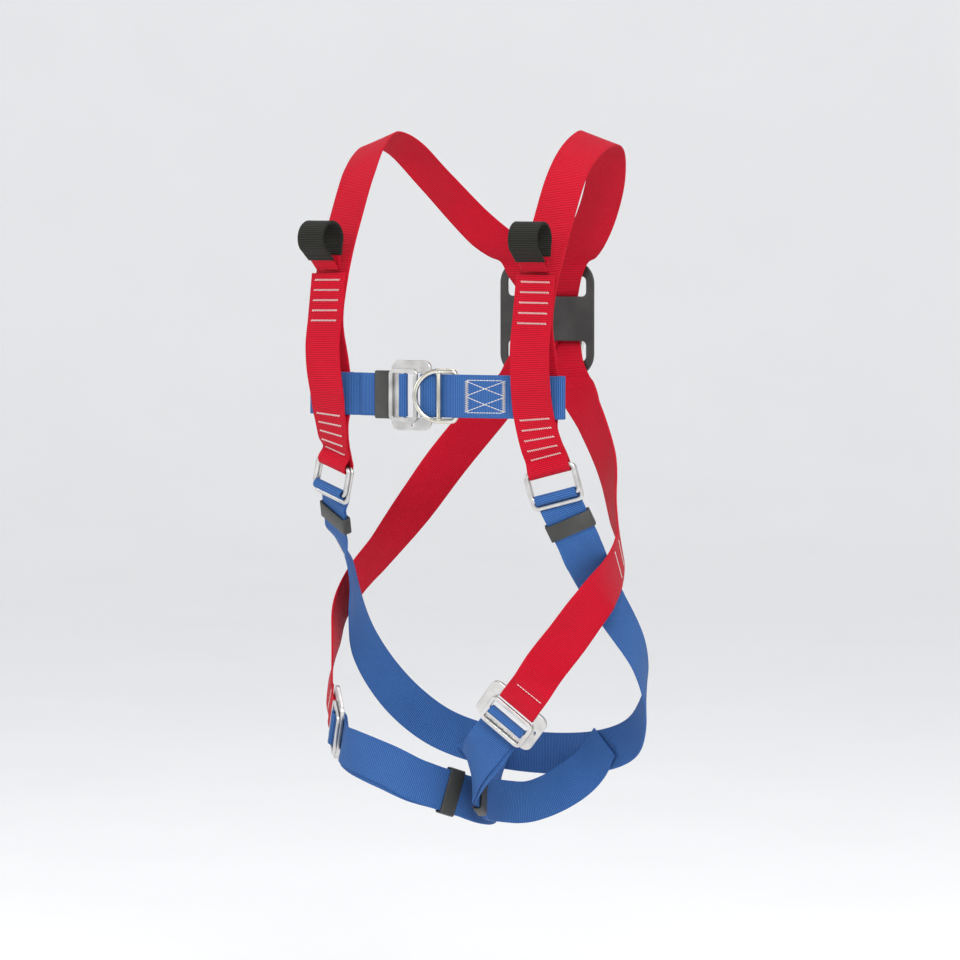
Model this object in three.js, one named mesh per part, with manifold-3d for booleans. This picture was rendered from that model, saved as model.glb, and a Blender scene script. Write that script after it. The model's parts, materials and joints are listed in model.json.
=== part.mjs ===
// Full-body safety harness in the shape it takes when it is worn.
// Millimetres, +Z up. The wearer faces -Y and the wearer's left is +X. The origin is midway between the
// two shoulder straps at the height of the shoulders, where the wearer's body holds the harness up.

import * as THREE from 'three';
import { mergeVertices } from 'three/addons/utils/BufferGeometryUtils.js';
import Module from 'manifold-3d';

const wasm = await Module();
wasm.setup();

// ---------------------------------------------------------------- driving dimensions

const WEB = { width: 44, thick: 2, gap: 0.5 };
const DOUBLE = 2 * WEB.thick + 0.4;
const LAYER = 3.2;
const STATION_STEP = 13;

const RING = { width: 56, bar: 5.4, depth: 4, front: 33, back: 41, corner: 7, play: 0.4 };
const FRAME = { width: 72, height: 47, thick: 4, corner: 9, bar: 10, window: 46, key: 30 };
const PLATE = { width: 54.4, height: 34, thick: 3, corner: 7, rail: 4.5, bar: 4.4, drop: 8, lift: 0.4 };
const CHEST_RING = { wire: 5.2, inside: 46, slot: 18, reach: 43, tilt: 18 };
const DORSAL_RING = { wire: 6.4, inside: 62, slot: 16.3, reach: 62, tilt: 22.8 };
const KEEPER = { length: 18, wall: 1.8, play: 0.9, corner: 2.4 };
const LOOP = { width: 33, thick: 3, radius: 17, reach: 14, height: 36, spread: 1.9 };
const DORSAL_PLATE = { width: 114, height: 122, thick: 3.4, corner: 24 };
const DORSAL_SLOT = { width: 96, height: 21, corner: 5, at: 34 };

const CHEST_HEIGHT = -264;
const ADJUSTER = { x: 133, y: -96, z: -355, azimuth: 18, roll: 15 };
const CROSSING = { y: 116, z: -190, lean: 26 };

// ---------------------------------------------------------------- materials

const material = (color, roughness, metalness = 0) =>
  new THREE.MeshStandardMaterial({ color, roughness, metalness });

const redWebbing = () => material(0xc8102e, 0.8);
const blueWebbing = () => material(0x3f68b5, 0.8);
const blackSleeve = () => material(0x33342f, 0.75);
const keeperPlastic = () => material(0x2b2b29, 0.5);
const forgedSteel = () => material(0xc4c2be, 0.35, 1);
const platedSteel = () => material(0xd6d2c0, 0.2, 1);

// ---------------------------------------------------------------- directions, frames and marks

const UP = new THREE.Vector3(0, 0, 1);

// Outward direction at an azimuth measured from the wearer's front (-Y) towards the wearer's left (+X).
function facing(azimuth, rise = 0) {
  const a = THREE.MathUtils.degToRad(azimuth);
  const r = THREE.MathUtils.degToRad(rise);
  return new THREE.Vector3(Math.sin(a) * Math.cos(r), -Math.cos(a) * Math.cos(r), Math.sin(r));
}

// A mark is one point of a strap's route: where the middle of the webbing is and which way its face looks.
function mark(x, y, z, azimuth, rise = 0, thick = WEB.thick) {
  return { at: new THREE.Vector3(x, y, z), out: facing(azimuth, rise), thick, level: 0 };
}

const turnedOver = (marks) => marks.map((m) => ({ ...m, out: m.out.clone().negate() }));

// A frame for hardware: width along the bars, up towards the strap it hangs from, out away from the wearer.
function frameAt(x, y, z, azimuth, roll) {
  const out = facing(azimuth);
  const across = new THREE.Vector3().crossVectors(UP, out);
  const turn = THREE.MathUtils.degToRad(roll);
  const width = across.clone().multiplyScalar(Math.cos(turn)).addScaledVector(UP, Math.sin(turn));
  const up = UP.clone().multiplyScalar(Math.cos(turn)).addScaledVector(across, -Math.sin(turn));
  return new THREE.Matrix4().makeBasis(width, up, out).setPosition(x, y, z);
}

// A mark in a frame at a height along `up` and a distance along `out`, looking at `angle` between them.
function frameMark(frame, up, out, angle = 0, thick = WEB.thick) {
  const a = THREE.MathUtils.degToRad(angle);
  return {
    at: new THREE.Vector3(0, up, out).applyMatrix4(frame),
    out: new THREE.Vector3(0, Math.sin(a), Math.cos(a)).transformDirection(frame),
    thick,
    level: 0,
  };
}

// Marks around a bar that lies along a frame's width.
function wrapMarks(frame, barUp, barOut, radius, from, to, count) {
  return Array.from({ length: count + 1 }, (_, i) => {
    const angle = from + ((to - from) * i) / count;
    const a = THREE.MathUtils.degToRad(angle);
    return frameMark(frame, barUp + radius * Math.sin(a), barOut + radius * Math.cos(a), angle);
  });
}

// ---------------------------------------------------------------- sweeps

// Sets the line across the strap, turned towards the X axis by the station's level weight.
function setRuling(s) {
  s.ruling = s.side.clone();
  if (s.level === 0) {
    return;
  }
  const acrossX = new THREE.Vector3(Math.sign(s.side.x), 0, 0);
  acrossX.divideScalar(new THREE.Vector3().crossVectors(acrossX, s.along).length());
  s.ruling.lerp(acrossX, s.level);
  s.face.crossVectors(s.along, s.ruling).normalize();
}

// Stations on a smooth curve through the marks, each with its width, face and travel directions.
function stationsThrough(marks, closed = false) {
  const curve = new THREE.CatmullRomCurve3(marks.map((m) => m.at), closed, 'centripetal');
  const spans = closed ? marks.length : marks.length - 1;
  const stations = [];
  for (let i = 0; i < spans; i += 1) {
    const a = marks[i];
    const b = marks[(i + 1) % marks.length];
    const steps = Math.max(1, Math.round(a.at.distanceTo(b.at) / STATION_STEP));
    for (let k = 0; k < steps; k += 1) {
      const w = k / steps;
      stations.push({
        at: curve.getPoint((i + w) / spans),
        out: a.out.clone().lerp(b.out, w),
        thick: THREE.MathUtils.lerp(a.thick, b.thick, w),
        level: THREE.MathUtils.lerp(a.level, b.level, w),
      });
    }
  }
  if (!closed) {
    stations.push({ ...marks[marks.length - 1] });
  }
  const count = stations.length;
  stations.forEach((s, i) => {
    const next = stations[closed ? (i + 1) % count : Math.min(i + 1, count - 1)];
    const last = stations[closed ? (i + count - 1) % count : Math.max(i - 1, 0)];
    s.along = next.at.clone().sub(last.at).normalize();
  });
  stations.forEach((s) => {
    s.face = s.out.clone().addScaledVector(s.along, -s.out.dot(s.along)).normalize();
    s.side = new THREE.Vector3().crossVectors(s.face, s.along);
    setRuling(s);
  });
  return stations;
}

// A closed solid from one convex outline per station; an open sweep gets flat ends.
function sweep(outlines, closed) {
  const sides = outlines[0].length;
  const positions = outlines.flat().flatMap((p) => [p.x, p.y, p.z]);
  const index = [];
  const spans = closed ? outlines.length : outlines.length - 1;
  for (let i = 0; i < spans; i += 1) {
    const here = i * sides;
    const next = ((i + 1) % outlines.length) * sides;
    for (let k = 0; k < sides; k += 1) {
      const l = (k + 1) % sides;
      index.push(here + k, here + l, next + l, here + k, next + l, next + k);
    }
  }
  if (!closed) {
    const end = (outlines.length - 1) * sides;
    for (let k = 1; k < sides - 1; k += 1) {
      index.push(0, k + 1, k, end, end + k, end + k + 1);
    }
  }
  const geometry = new THREE.BufferGeometry();
  geometry.setAttribute('position', new THREE.Float32BufferAttribute(positions, 3));
  geometry.setIndex(index);
  return geometry;
}

// Flat webbing: a rectangle carried along the stations.
function webbing(marks, width = WEB.width, closed = false) {
  const corner = (s, w, t) => s.at.clone().addScaledVector(s.ruling, w).addScaledVector(s.face, t);
  return sweep(stationsThrough(marks, closed).map((s) => {
    const w = width / 2;
    const t = s.thick / 2;
    return [corner(s, -w, -t), corner(s, w, -t), corner(s, w, t), corner(s, -w, t)];
  }), closed);
}

// A round or oval bar bent along a closed path that lies in the XY plane.
function bentBar(path, halfWidth, halfDepth, sides = 8) {
  const count = path.length;
  return sweep(path.map((p, i) => {
    const along = path[(i + 1) % count].clone().sub(path[(i + count - 1) % count]).normalize();
    const across = new THREE.Vector2(-along.y, along.x);
    return Array.from({ length: sides }, (_, k) => {
      const a = (2 * Math.PI * (k + 0.5)) / sides;
      const w = halfWidth * Math.cos(a);
      return new THREE.Vector3(p.x + across.x * w, p.y + across.y * w, halfDepth * Math.sin(a));
    });
  }), true);
}

// ---------------------------------------------------------------- outlines, cuts and joins

function roundedRectangle(width, height, radius, centreY = 0) {
  const x = width / 2 - radius;
  const y = height / 2 - radius;
  const shape = new THREE.Shape();
  shape.absarc(x, centreY + y, radius, 0, Math.PI / 2);
  shape.absarc(-x, centreY + y, radius, Math.PI / 2, Math.PI);
  shape.absarc(-x, centreY - y, radius, Math.PI, 1.5 * Math.PI);
  shape.absarc(x, centreY - y, radius, 1.5 * Math.PI, 2 * Math.PI);
  shape.closePath();
  return shape;
}

// The outline's points once round, without repeated ones.
function outlinePoints(shape, divisions) {
  const points = shape.getPoints(divisions);
  return points.filter((p, i) => points.slice(0, i).every((q) => p.distanceTo(q) > 0.01));
}

function plateGeometry(shape, holes, thick, bevel) {
  shape.holes.push(...holes);
  const geometry = new THREE.ExtrudeGeometry(shape, {
    depth: thick - 2 * bevel,
    bevelEnabled: true,
    bevelThickness: bevel,
    bevelSize: bevel,
    bevelOffset: -bevel,
    bevelSegments: 1,
    curveSegments: 4,
  });
  return geometry.translate(0, 0, bevel - thick / 2);
}

function toManifold(geometry) {
  const bare = geometry.clone();
  bare.deleteAttribute('normal');
  bare.deleteAttribute('uv');
  const merged = mergeVertices(bare, 1e-4);
  return new wasm.Manifold(new wasm.Mesh({
    numProp: 3,
    vertProperties: new Float32Array(merged.attributes.position.array),
    triVerts: new Uint32Array(merged.index.array),
  }));
}

function joined(first, ...others) {
  const solid = others.reduce((sum, geometry) => sum.add(toManifold(geometry)), toManifold(first));
  const mesh = solid.getMesh();
  const geometry = new THREE.BufferGeometry();
  geometry.setAttribute('position', new THREE.Float32BufferAttribute(mesh.vertProperties, 3));
  geometry.setIndex(Array.from(mesh.triVerts));
  return geometry;
}

// ---------------------------------------------------------------- the model's group

const harness = new THREE.Group();

function addPiece(name, geometry, surface, frame = null) {
  const mesh = new THREE.Mesh(geometry, surface);
  mesh.name = name;
  if (frame) {
    mesh.applyMatrix4(frame);
  }
  harness.add(mesh);
}

// ---------------------------------------------------------------- frames of the hardware

const SIDES = { left: 1, right: -1 };

function adjusterFrame(s) {
  const { x, y, z, azimuth, roll } = ADJUSTER;
  return frameAt(s * x, y, z, s * azimuth, s * roll);
}

const tilted = (frame, degrees) =>
  frame.clone().multiply(new THREE.Matrix4().makeRotationX(THREE.MathUtils.degToRad(-degrees)));
const legFrames = {
  left: tilted(frameAt(84, -97, -590, 19, -39), -25),
  right: frameAt(-154.5, -55, -612, -48, 52),
};
const chestFrame = frameAt(-19, -124, CHEST_HEIGHT, 0, -90);
const dorsalFrame = frameAt(0, CROSSING.y, CROSSING.z, 180, 0);
const loopFrame = (s) => frameAt(s * 124, -117, -140, s * 5, 0);
const chestRingFrame = tilted(frameAt(33, -122.7, CHEST_HEIGHT, 0, -90), CHEST_RING.tilt);
const dorsalRingFrame = tilted(
  dorsalFrame.clone().multiply(new THREE.Matrix4().makeTranslation(0, 7.5, 7)),
  DORSAL_RING.tilt,
);

// ---------------------------------------------------------------- routes of the red straps

// Where the webbing hangs the two adjuster rings: round both top bars, with room for the front ring to tilt.
const HANG = { up: 18.3, radius: RING.depth + RING.play / 2 + WEB.gap + WEB.thick / 2 };

// Outer ply, fold round the adjuster rings, inner ply and over the shoulder, for the side s.
function frontRoute(s) {
  const frame = adjusterFrame(s);
  const outer = [
    mark(s * 124, -117, -140, s * 5),
    mark(s * 124, -125, -188, s * 5),
    mark(s * 124, -129.5, -213, s * 5),
    mark(s * 123.5, -128, -240, s * 5),
    mark(s * 122.5, -122.5, -268, s * 7),
    mark(s * 123, -118.5, -285, s * 9),
    mark(s * 123.4, -114.4, -296, s * 10),
    mark(s * 125.3, -107.2, -315, s * 14),
    frameMark(frame, 30, 1.6),
  ];
  const fold = wrapMarks(frame, HANG.up, 0, HANG.radius, 0, -180, 6);
  const inner = [
    frameMark(frame, 30, -1.6),
    mark(s * 124.5, -104.4, -315, s * 14),
    mark(s * 123, -111.6, -296, s * 10),
    mark(s * 122.5, -109.5, -283, s * 8),
    mark(s * 122.5, -107.5, -262, s * 6),
    mark(s * 123.5, -113, -228, s * 5),
    mark(s * 124, -122, -190, s * 5),
    mark(s * 124, -113.5, -150, s * 6),
    mark(s * 124.5, -99, -116, s * 8),
    mark(s * 125, -84, -86, s * 9, 25),
    mark(s * 126, -55, -36, s * 12, 45),
    mark(s * 128.5, -30, -12, s * 35, 62),
    mark(s * 130, -2, -1, s * 90, 70),
    mark(s * 123, 27, -9, s * 140, 66),
    mark(s * 104, 60, -44, s * 165, 45),
    mark(s * 66, 94, -97, s * 172, 22),
  ];
  return [...outer, ...fold, ...turnedOver(inner)];
}

// Through the dorsal plate: out by the upper slot, over the ring's upper bar, under its lower bar and in
// by the lower slot. The webbing crosses the level bars at a slant, so its ruling lines stay level there.
function dorsalRoute(s, layer) {
  const slant = Math.tan(THREE.MathUtils.degToRad(CROSSING.lean));
  const level = (up, out) => ({
    ...mark(s * up * slant, CROSSING.y + out + layer * LAYER, CROSSING.z + up, 180),
    level: 1,
  });
  return turnedOver([
    level(60, -6.2),
    level(45, -4.7),
    level(34, 0.4),
    level(23, 5.8),
    level(15, 9.6),
    level(7.5, 11.8),
    level(-0.5, 8.8),
    level(-8, 5.3),
    level(-24, 5.2),
    level(-34, 1),
    level(-45, -4.7),
    level(-60, -6.2),
  ]);
}

// From the crossing round the flank and over the hip to the side t's leg buckle.
function hipRoute(t) {
  const flank = [
    mark(t * 62, 98, -290, t * 163),
    mark(t * 98, 75, -342, t * 148),
    mark(t * 121, 48, -388, t * 128),
  ];
  const overHip = {
    left: [
      mark(145, 20, -420, 104),
      mark(164.7, -27.8, -446, 80),
      mark(167.2, -60.3, -465, 59),
      mark(154.6, -72.1, -487, 45),
      mark(139.5, -79, -510, 36),
      mark(119, -90, -540, 24),
    ],
    right: [
      mark(-149, 27, -434, -100),
      mark(-169, 5, -468, -88),
      mark(-176, -15, -499, -78),
      mark(-174, -26, -532, -68),
    ],
  };
  return turnedOver([...flank, ...overHip[t > 0 ? 'left' : 'right']]);
}

// Round the buckle frame's upper bar, with the sewn end lying behind the strap.
function legLoopRoute(frame) {
  const bar = FRAME.height / 2 - FRAME.bar / 2;
  const face = FRAME.thick / 2 + WEB.gap + WEB.thick / 2;
  return turnedOver([
    frameMark(frame, bar + 26, 1.3),
    frameMark(frame, bar + 14, 1.6),
    frameMark(frame, bar + 4, face),
    ...wrapMarks(frame, bar - 4, 0, face, 0, -180, 6),
    frameMark(frame, bar + 4, -face),
    frameMark(frame, bar + 14, -1.2),
    frameMark(frame, bar + 30, -1.5),
  ]);
}

// ---------------------------------------------------------------- routes of the blue straps

// Straight stretches of doubled strap, each with a keeper at its middle.
const stretch = (from, to, azimuth) => ({
  from: new THREE.Vector3(...from),
  to: new THREE.Vector3(...to),
  azimuth,
});
const STRETCHES = {
  chest: stretch([-40, -119.3, CHEST_HEIGHT], [-70, -119.1, CHEST_HEIGHT], -2),
  hip: {
    1: stretch([138, -85.5, -379], [145, -68.5, -410], 24),
    '-1': stretch([-138, -85.5, -379], [-145, -68.5, -410], -24),
  },
  legLeft: stretch([8, -44, -669], [2, -11, -688], -62),
  legRight: stretch([-32, -56, -674], [-17, -22, -686], 62),
};

function straight({ from, to, azimuth }) {
  return [0, 0.14, 0.86, 1].map((w) => {
    const at = from.clone().lerp(to, w);
    return mark(at.x, at.y, at.z, azimuth, 0, DOUBLE);
  });
}

const FRONT_BAR = { up: RING.back / 2 - RING.front + RING.bar / 2, out: (RING.depth + RING.play) / 2 };
const FRONT_TURN = RING.bar / 2 + WEB.gap + WEB.thick / 2;
const BEHIND_RINGS = -(RING.depth + RING.play / 2 + WEB.gap + DOUBLE / 2);

// The hip part of the seat strap on side s, from behind the adjuster rings to the back of the thigh.
function seatHalf(s) {
  const frame = adjusterFrame(s);
  return [
    frameMark(frame, FRONT_BAR.up + 2.6, -2.9, 110),
    frameMark(frame, FRONT_BAR.up + 1.4, -5.4, 40),
    frameMark(frame, FRONT_BAR.up - 1.5, BEHIND_RINGS - 0.9, 0),
    frameMark(frame, -15, BEHIND_RINGS, 0, DOUBLE),
    ...straight(STRETCHES.hip[s]),
    mark(s * 146, -58, -425, s * 38, 0, DOUBLE),
    mark(s * 149, -35, -455, s * 60),
    mark(s * 157, -17, -484, s * 74),
    mark(s * 163.5, -0.5, -507, s * 85),
    mark(s * 167.5, 18, -532, s * 98),
    mark(s * 162, 43, -566, s * 112),
    mark(s * 145, 68, -600, s * 128),
    mark(s * 117, 92, -628, s * 145),
    mark(s * 70, 108, -645, s * 162),
  ];
}

const seatRoute = () => [...seatHalf(1), mark(0, 114, -651, 180), ...seatHalf(-1).reverse()];

const PLATE_BAR = { up: -PLATE.drop, out: FRAME.thick / 2 + PLATE.lift + PLATE.thick / 2 };
const PLATE_TURN = PLATE.bar / 2 + WEB.gap + WEB.thick / 2;
const BEHIND_FRAME = -(FRAME.thick / 2 + WEB.gap + DOUBLE / 2);

// The end of a doubled strap: behind a buckle frame's lower bar and out through its window.
function passThroughEnd(frame) {
  return [
    frameMark(frame, -8.2, -1.2, 80, DOUBLE),
    frameMark(frame, -9.2, -3.4, 50, DOUBLE),
    frameMark(frame, -13, BEHIND_FRAME, 10, DOUBLE),
  ];
}

// From the buckle plate through the legs to the seat strap; the tail is doubled behind as far as the keeper.
const legRoutes = {
  left: [
    mark(47, -87, -632, 8, 0, DOUBLE),
    mark(27, -74, -650, -12, 0, DOUBLE),
    mark(15, -58, -661, -34, 0, DOUBLE),
    ...straight(STRETCHES.legLeft),
    mark(4, 17, -693, -98),
    mark(18, 48, -696, -122),
    mark(38, 83, -684, -150),
    mark(60, 104.5, -661, -186),
    mark(80, 100.5, -634, -202),
  ],
  right: [
    mark(-131, -78, -635, -32, 0, DOUBLE),
    mark(-103, -87, -645, -6, 0, DOUBLE),
    mark(-73, -83, -656, 14, 0, DOUBLE),
    mark(-49, -73, -667, 31, 0, DOUBLE),
    ...straight(STRETCHES.legRight),
    mark(-14, 2, -694, 92),
    mark(-17, 38, -698, 116),
    mark(-38, 81, -685, 150),
    mark(-60, 104.5, -661, 186),
    mark(-80, 100.5, -634, 202),
  ],
};
function legRoute(side) {
  const frame = legFrames[side];
  return [...passThroughEnd(frame), frameMark(frame, -23, BEHIND_FRAME, 0, DOUBLE), ...legRoutes[side]];
}

// Round the inner ply of the shoulder strap on side s, from the front to the back.
const PLY_LOOP = { front: -113.1, back: -104.2, x: 147, shift: 1.4 };
function plyLoop(s) {
  const { front, back, x, shift } = PLY_LOOP;
  const edge = frameAt(s * x, (front + back) / 2 + shift, CHEST_HEIGHT, 0, -90);
  return [
    mark(s * 100, front - 2 * shift, CHEST_HEIGHT, s * 8),
    mark(s * 112, front - shift, CHEST_HEIGHT, s * 6),
    mark(s * 128, front, CHEST_HEIGHT, s * 6),
    ...wrapMarks(edge, 0, 0, (back - front) / 2, 0, s * 180, 6),
    ...turnedOver([mark(s * 128, back, CHEST_HEIGHT, s * 6)]),
    ...turnedOver([mark(s * 112, back - shift, CHEST_HEIGHT, s * 6)]),
    ...turnedOver([mark(s * 100, back - 2 * shift, CHEST_HEIGHT, s * 8)]),
  ];
}

// Left chest strap: a sewn band round the shoulder strap's inner ply and the chest buckle frame's bar,
// with the chest ring's outer bar between its two plies.
function chestLeftRoute() {
  const z = CHEST_HEIGHT;
  const bar = FRAME.height / 2 - FRAME.bar / 2;
  const face = FRAME.thick / 2 + WEB.gap + WEB.thick / 2;
  const back = turnedOver([
    mark(10, -119.6, z, 0),
    mark(33, -118.4, z, 1),
    mark(50, -119, z, 2),
    mark(70, -117, z, 5),
    mark(92, -112.6, z, 10),
  ]);
  const front = [
    mark(92, -115.4, z, 8),
    mark(70, -119.6, z, 5),
    mark(50, -121.6, z, 2),
    mark(42, -124, z, 0),
    mark(33, -126.8, z, 0),
    mark(24, -125.4, z, 0),
    mark(16, -124, z, 0),
    mark(10.5, -125.6, z, 0),
    mark(5, -127.5, z, 0),
  ];
  const turn = wrapMarks(chestFrame, bar - 3.5, 0, face, 0, -180, 6);
  return [...front, ...turn, ...back, ...plyLoop(1).reverse()];
}

// Right chest strap: from the buckle plate, doubled, to a loop round the shoulder strap's inner ply.
function chestRightRoute() {
  const z = CHEST_HEIGHT;
  return [
    ...passThroughEnd(chestFrame),
    ...straight(STRETCHES.chest),
    mark(-87, -116.8, z, -11, 0, DOUBLE),
    ...plyLoop(-1),
  ];
}

// ---------------------------------------------------------------- sub-parts

function shoulderStrap(side) {
  const s = SIDES[side];
  const hip = side === 'left' ? 'right' : 'left';
  const layer = side === 'left' ? 0 : 1;
  const marks = [...frontRoute(s), ...dorsalRoute(s, layer), ...hipRoute(-s), ...legLoopRoute(legFrames[hip])];
  addPiece(`shoulder_strap_${side}`, webbing(marks), redWebbing());
}

// The last stretch of a strap where it wraps a bar that moves.
function strapTurn(name, frame, bar, radius, from, to) {
  addPiece(name, webbing(wrapMarks(frame, bar.up, bar.out, radius, from, to, 8)), blueWebbing());
}

// Textile attachment loop: a teardrop band rooted at the upper end of the shoulder strap's outer ply.
function frontLoop(side) {
  const { width, thick, radius, reach, height, spread } = LOOP;
  const frame = loopFrame(SIDES[side]);
  const root = (out) => frameMark(frame, 4, out, out > 0 ? 0 : 180, thick);
  const marks = [
    root(spread),
    frameMark(frame, height * 0.35, reach * 0.78, -25, thick),
    ...wrapMarks(frame, height, reach, radius, -25, 205, 10).map((m) => ({ ...m, thick })),
    frameMark(frame, height * 0.35, -0.6, 188, thick),
    root(-spread),
  ];
  addPiece(`front_loop_${side}`, webbing(marks, width), blackSleeve());
}

// Oval-section rectangular ring, centred at a height and depth in its frame.
function rectangularRing(name, frame, height, centreUp, centreOut) {
  const path = outlinePoints(roundedRectangle(
    RING.width - RING.bar,
    height - RING.bar,
    RING.corner - RING.bar / 2,
    centreUp,
  ), 3);
  const geometry = bentBar(path, RING.bar / 2, RING.depth / 2).translate(0, 0, centreOut);
  addPiece(name, geometry, forgedSteel(), frame);
}

function adjuster(side) {
  const frame = adjusterFrame(SIDES[side]);
  const out = (RING.depth + RING.play) / 2;
  rectangularRing(`adjuster_front_ring_${side}`, frame, RING.front, (RING.back - RING.front) / 2, out);
  rectangularRing(`adjuster_back_ring_${side}`, frame, RING.back, 0, -out);
  strapTurn(`seat_strap_turn_${side}`, frame, FRONT_BAR, FRONT_TURN, 150, -120);
}

// Flat buckle frame with one wide window and a small key slot in its side rail.
function buckleFrame(name, frame) {
  const windowHeight = FRAME.height - 2 * FRAME.bar;
  const key = new THREE.Path().absellipse(FRAME.key, 2, 1.4, 2.2, 0, 2 * Math.PI);
  const geometry = plateGeometry(
    roundedRectangle(FRAME.width, FRAME.height, FRAME.corner),
    [roundedRectangle(FRAME.window, windowHeight, 3), key],
    FRAME.thick,
    0.8,
  );
  addPiece(name, geometry, forgedSteel(), frame);
}

// Buckle plate with a bar between two slots; the strap wraps the bar.
function bucklePlate(name, frame) {
  const slotHeight = (PLATE.height - 2 * PLATE.rail - PLATE.bar) / 2;
  const slotAt = (PLATE.bar + slotHeight) / 2;
  const slots = [-slotAt, slotAt].map((y) =>
    roundedRectangle(PLATE.width - 2 * PLATE.rail, slotHeight, 1, y));
  const geometry = plateGeometry(
    roundedRectangle(PLATE.width, PLATE.height, PLATE.corner),
    slots,
    PLATE.thick,
    0.6,
  ).translate(0, PLATE_BAR.up, PLATE_BAR.out);
  addPiece(name, geometry, forgedSteel(), frame);
}

function buckle(prefix, suffix, strap, frame) {
  buckleFrame(`${prefix}_buckle_frame${suffix}`, frame);
  bucklePlate(`${prefix}_buckle_plate${suffix}`, frame);
  strapTurn(`${strap}_turn${suffix}`, frame, PLATE_BAR, PLATE_TURN, 148, -148);
}

// D-shaped ring whose straight end has a slot: an outer bar, a middle bar and the D beyond it.
function slottedRing(name, frame, size, surface) {
  const half = (size.inside + size.wire) / 2;
  const corner = size.wire;
  const outline = new THREE.Path();
  outline.absarc(half - corner, -corner, corner, 0.5 * Math.PI, 0, true);
  outline.absellipse(0, -size.slot, half, size.reach - size.slot, 0, Math.PI, true);
  outline.absarc(-half + corner, -corner, corner, Math.PI, 0.5 * Math.PI, true);
  const rim = bentBar(outlinePoints(outline, 10), size.wire / 2, size.wire / 2);
  const bar = new THREE.CylinderGeometry(size.wire / 2, size.wire / 2, 2 * half, 8)
    .rotateZ(Math.PI / 2)
    .translate(0, -size.slot, 0);
  addPiece(name, joined(rim, bar), surface, frame);
}

function dorsalPlate() {
  const { width, height, thick, corner } = DORSAL_PLATE;
  const slots = [DORSAL_SLOT.at, -DORSAL_SLOT.at].map((y) =>
    roundedRectangle(DORSAL_SLOT.width, DORSAL_SLOT.height, DORSAL_SLOT.corner, y));
  const geometry = plateGeometry(roundedRectangle(width, height, corner), slots, thick, 0.7);
  addPiece('dorsal_plate', geometry.translate(0, 0, thick / 2), keeperPlastic(), dorsalFrame);
}

// Flat sleeve round the middle of a straight stretch of doubled strap.
function keeper(name, { from, to, azimuth }) {
  const width = WEB.width + 2 * KEEPER.play;
  const depth = DOUBLE + 2 * KEEPER.play;
  const shape = roundedRectangle(width + 2 * KEEPER.wall, depth + 2 * KEEPER.wall, KEEPER.corner);
  shape.holes.push(roundedRectangle(width, depth, 0.8));
  const geometry = new THREE.ExtrudeGeometry(shape, {
    depth: KEEPER.length,
    bevelEnabled: false,
    curveSegments: 3,
  });
  geometry.translate(0, 0, -KEEPER.length / 2);
  const along = to.clone().sub(from).normalize();
  const face = facing(azimuth).addScaledVector(along, -facing(azimuth).dot(along)).normalize();
  const side = new THREE.Vector3().crossVectors(face, along);
  addPiece(name, geometry, keeperPlastic(), new THREE.Matrix4()
    .makeBasis(side, face, along)
    .setPosition(from.clone().lerp(to, 0.5)));
}

// ---------------------------------------------------------------- assembly

addPiece('seat_strap', webbing(seatRoute()), blueWebbing());
addPiece('chest_strap_left', webbing(chestLeftRoute(), WEB.width, true), blueWebbing());
addPiece('chest_strap_right', webbing(chestRightRoute()), blueWebbing());
buckle('chest', '', 'chest_strap', chestFrame);
keeper('chest_keeper', STRETCHES.chest);
slottedRing('chest_ring', chestRingFrame, CHEST_RING, platedSteel());
slottedRing('dorsal_ring', dorsalRingFrame, DORSAL_RING, forgedSteel());
dorsalPlate();
for (const side of ['left', 'right']) {
  shoulderStrap(side);
  frontLoop(side);
  adjuster(side);
  keeper(`hip_keeper_${side}`, STRETCHES.hip[SIDES[side]]);
  addPiece(`leg_strap_${side}`, webbing(legRoute(side)), blueWebbing());
  buckle('leg', `_${side}`, 'leg_strap', legFrames[side]);
  keeper(`leg_keeper_${side}`, side === 'left' ? STRETCHES.legLeft : STRETCHES.legRight);
}

export default harness;
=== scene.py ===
import json
import math
from itertools import permutations

import bmesh
import bpy
import numpy as np
from mathutils import Matrix, Vector

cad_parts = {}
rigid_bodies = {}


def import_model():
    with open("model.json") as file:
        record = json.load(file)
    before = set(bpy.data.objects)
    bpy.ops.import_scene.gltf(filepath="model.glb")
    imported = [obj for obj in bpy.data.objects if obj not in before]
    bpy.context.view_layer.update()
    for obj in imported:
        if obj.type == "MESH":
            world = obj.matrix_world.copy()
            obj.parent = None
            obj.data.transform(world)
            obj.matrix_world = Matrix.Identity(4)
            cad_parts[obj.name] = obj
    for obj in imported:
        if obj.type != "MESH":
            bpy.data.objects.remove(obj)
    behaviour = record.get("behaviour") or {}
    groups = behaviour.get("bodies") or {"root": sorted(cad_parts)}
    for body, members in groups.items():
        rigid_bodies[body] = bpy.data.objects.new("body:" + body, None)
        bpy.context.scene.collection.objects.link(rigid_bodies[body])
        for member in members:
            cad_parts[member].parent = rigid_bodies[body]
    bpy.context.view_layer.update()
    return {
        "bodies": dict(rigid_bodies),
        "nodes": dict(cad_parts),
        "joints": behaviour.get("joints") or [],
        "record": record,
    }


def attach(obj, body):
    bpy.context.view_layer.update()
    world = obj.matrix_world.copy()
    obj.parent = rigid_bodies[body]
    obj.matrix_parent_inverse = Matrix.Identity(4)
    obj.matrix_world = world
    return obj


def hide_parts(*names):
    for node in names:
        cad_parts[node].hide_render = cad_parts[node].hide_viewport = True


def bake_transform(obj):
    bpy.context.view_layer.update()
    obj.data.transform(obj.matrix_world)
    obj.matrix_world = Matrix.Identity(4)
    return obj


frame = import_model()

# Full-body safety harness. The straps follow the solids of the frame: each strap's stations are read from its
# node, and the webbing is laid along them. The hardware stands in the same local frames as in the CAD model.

NODES = frame["nodes"]
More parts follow.
